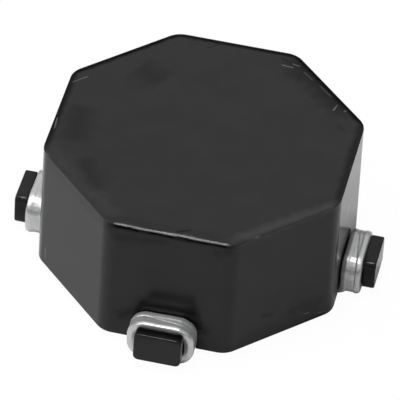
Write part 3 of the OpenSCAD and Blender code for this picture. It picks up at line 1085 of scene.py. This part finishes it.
def run_tree(mesh, tree, values):
    """A mesh after a Geometry Nodes tree, with the tree's inputs set by their identifiers."""
    work = add_object("work", mesh)
    step = work.modifiers.new(tree.name, "NODES")
    step.node_group = tree
    for item in tree.interface.items_tree:
        if item.in_out == "INPUT" and item.name in values:
            step[item.identifier] = values[item.name]
    return worked_out(work)


lead_mesh = bpy.data.meshes.new("leads")
lead_mesh.from_pydata(lead_in + lead_out, [], [])
store(lead_mesh, "order", orders)
for half, name in enumerate(("winding_a", "winding_b")):
    winding = run_tree(lead_mesh, rule, winding_sizes)
    piece(name, turned_copy(winding, math.pi * half), enamelled_wire, sharp=60)

# %% [markdown]
# ## The terminals
# Each wire end comes out of its notch, turns up beside the lug and goes twice round its neck. Dipping
# fills the gaps with solder and rounds everything off. The wire is swept with the same group, a sleeve of
# solder is put round the neck, and voxel remeshing melts the two into one skin. Smoothing and a little
# noise give the frozen look, and the underside is pressed flat where the board will be.

# %% Wrap path
WRAPS = 2
WRAP_STEPS = 8
TURN_GAP = 0.03
wrap_pitch = WIRE_D + TURN_GAP
first_wrap = wall_face + wrap_lay
last_wrap = first_wrap + (WRAPS - 1) * wrap_pitch
print(f"wraps: {WRAPS} turns, {wrap_pitch:.2f} mm apart")


def wrap_corner(side, corner, x):
    """One rounded corner of a turn on the neck, counted from the one above the notch."""
    points = []
    for i in range(WRAP_STEPS + 1):
        bend = math.pi / 2 * (corner + i / WRAP_STEPS)
        u = corner_u if corner in (0, 3) else -corner_u
        z = high_corner_z if corner < 2 else low_corner_z
        across = side * (u + wrap_bend_r * math.cos(bend))
        points.append(Vector((x, across, z + wrap_bend_r * math.sin(bend))))
    return points


def wrap_path(side):
    """The wire's middle line: out through the notch, up beside the lug and round its neck."""
    points = [Vector((inner_half, side * exit_u, exit_z))]
    for c, s in arc(WRAP_STEPS):
        climb = exit_climb * (1 - c)
        out = first_wrap - EXIT_BEND_R * (1 - s)
        points.append(Vector((out, side * (exit_u + climb.x), exit_z + climb.y)))
    for w in range(WRAPS):
        x = first_wrap + w * wrap_pitch
        for corner in range(3):
            points += wrap_corner(side, corner, x)
        if w < WRAPS - 1:
            for i in range(1, WRAP_STEPS):
                f = i / WRAP_STEPS
                eased = f * f * (3 - 2 * f)
                cross_x = x + wrap_pitch * eased
                points.append(Vector((cross_x, side * corner_u * (2 * f - 1), neck_low_z - wrap_lay)))
            points += wrap_corner(side, 3, x + wrap_pitch)
    return points


# %% Wrapped wire
WRAP_SIDES = 20


def poly_line(points):
    """A mesh of edges along points."""
    mesh = bpy.data.meshes.new("line")
    mesh.from_pydata(points, [(i, i + 1) for i in range(len(points) - 1)], [])
    return mesh


wrap_inputs = {"Path": "Geometry", "Finish": "Material"} | floats("Wire diameter")
wrap_tree, given, made = node_group("wrapped_wire", "Geometry", wrap_inputs, {"Mesh": "Geometry"})
curve = place(wrap_tree, "GeometryNodeMeshToCurve", {"Mesh": given["Path"]})
end_in_wire(wrap_tree, curve.outputs[0], given, made, WRAP_SIDES)
wrap_sizes = {"Wire diameter": WIRE_D, "Finish": tin}

# %% Solder
SOLDER_DIP = 0.02
SOLDER_BACK = 0.16
SOLDER_FRONT = 0.15
SEAM_DEPTH = 0.014
SEAM_W = 0.026
SEAM_LEAN = 0.12
SEAM_FROM, SEAM_FULL = 0.5, 0.75


def solder_sleeve():
    """The solder round the neck, as a square ring that is later rounded off."""
    skin = WIRE_D - SOLDER_DIP
    top = neck_high_z + WRAP_GAP + skin
    outside = soft_rect(LUG_W + 2 * (WRAP_GAP + skin), top, NECK_R + WRAP_GAP + skin)
    inside = soft_rect(LUG_W + 2 * WRAP_GAP, NECK_H + 2 * WRAP_GAP, NECK_R + WRAP_GAP)
    ends = (first_wrap - SOLDER_BACK, last_wrap + SOLDER_FRONT)
    rings = [upright_ring(outside, x, top / 2) for x in ends]
    rings += [upright_ring(inside, x, neck_z) for x in reversed(ends)]
    return loft(rings, endless=True)


def seam(p, side):
    """How deep the seam between the two turns is at a point, on the outside of the band only."""
    beside = max(abs(p.y) - corner_u, 0)
    over = max(abs(p.z - neck_z) - (NECK_H / 2 - NECK_R), 0)
    out = (math.hypot(beside, over) - NECK_R) / WIRE_D
    outside = min(max((out - SEAM_FROM) / (SEAM_FULL - SEAM_FROM), 0), 1)
    middle_x = (first_wrap + last_wrap) / 2 + SEAM_LEAN * side * p.y
    return SEAM_DEPTH * outside * math.exp(-(((p.x - middle_x) / SEAM_W) ** 2))


print(f"solder: {last_wrap - first_wrap + SOLDER_BACK + SOLDER_FRONT:.2f} mm of each neck")

# %% Terminals
VOXEL = 0.028
SMOOTH_SHARE, SMOOTH_TIMES = 0.5, 6
FROZEN, FROZEN_SCALE, FROZEN_STEP = 0.01, 2.2, 10
for k, name in enumerate(LUGS):
    side = notch_side(k)
    wrapped = run_tree(poly_line(wrap_path(side)), wrap_tree, wrap_sizes)
    dipped = baked(
        joined([wrapped, solder_sleeve()]),
        ("REMESH", {"mode": "VOXEL", "voxel_size": VOXEL}),
        ("SMOOTH", {"factor": SMOOTH_SHARE, "iterations": SMOOTH_TIMES}),
    )
    outward = [vertex.normal.copy() for vertex in dipped.vertices]
    for vertex, normal in zip(dipped.vertices, outward):
        lump = FROZEN * noise.noise(vertex.co * FROZEN_SCALE + Vector((0, 0, FROZEN_STEP * k)))
        vertex.co += normal * (lump - seam(vertex.co, side))
        vertex.co.z = max(vertex.co.z, 0.0)
    piece("terminal_" + name, turned_copy(dipped, LUG_TURN * k), tin, sharp=80)

# %% [markdown]
# ## The adhesive
# Two dabs of epoxy hold the bare ring to the walls between the windings. A dab wets both sides, so it is
# wider where it touches and has a waist in between. It is a loft again, whose first outline follows the
# round side of the ring.

# %% Adhesive
DAB_W = 1.1
DAB_H = 1.5
DAB_GAP = 0.01
DAB_WAIST = 0.12
DAB_LUMP, DAB_LUMP_SCALE = 0.06, 1.7
DAB_STEPS = 10
DAB_TURN = math.radians(135)
dab_outline = soft_rect(DAB_W, DAB_H, radius=DAB_W / 3, steps=8)
dab_z = core_low.z + DAB_H / 2
dab_rings = []
for i in range(DAB_STEPS + 1):
    f = i / DAB_STEPS
    bulge = math.sin(math.pi * f)
    size = 1 - DAB_WAIST * bulge
    ring = []
    for p in dab_outline:
        from_core = math.sqrt((core_r + DAB_GAP) ** 2 - (p.x * size) ** 2)
        x = from_core + (inner_half - from_core) * f
        uneven = noise.noise(Vector((x, p.x, p.y)) * DAB_LUMP_SCALE)
        lump = Vector((0, p.x, p.y)) * DAB_LUMP * uneven * bulge
        ring.append(Vector((x, p.x * size, dab_z + p.y * size)) + lump)
    dab_rings.append(ring)
dab = loft(dab_rings)
dabs = [turned_copy(dab, DAB_TURN + math.pi * half) for half in range(2)]
piece("adhesive", joined(dabs), resin, sharp=60)
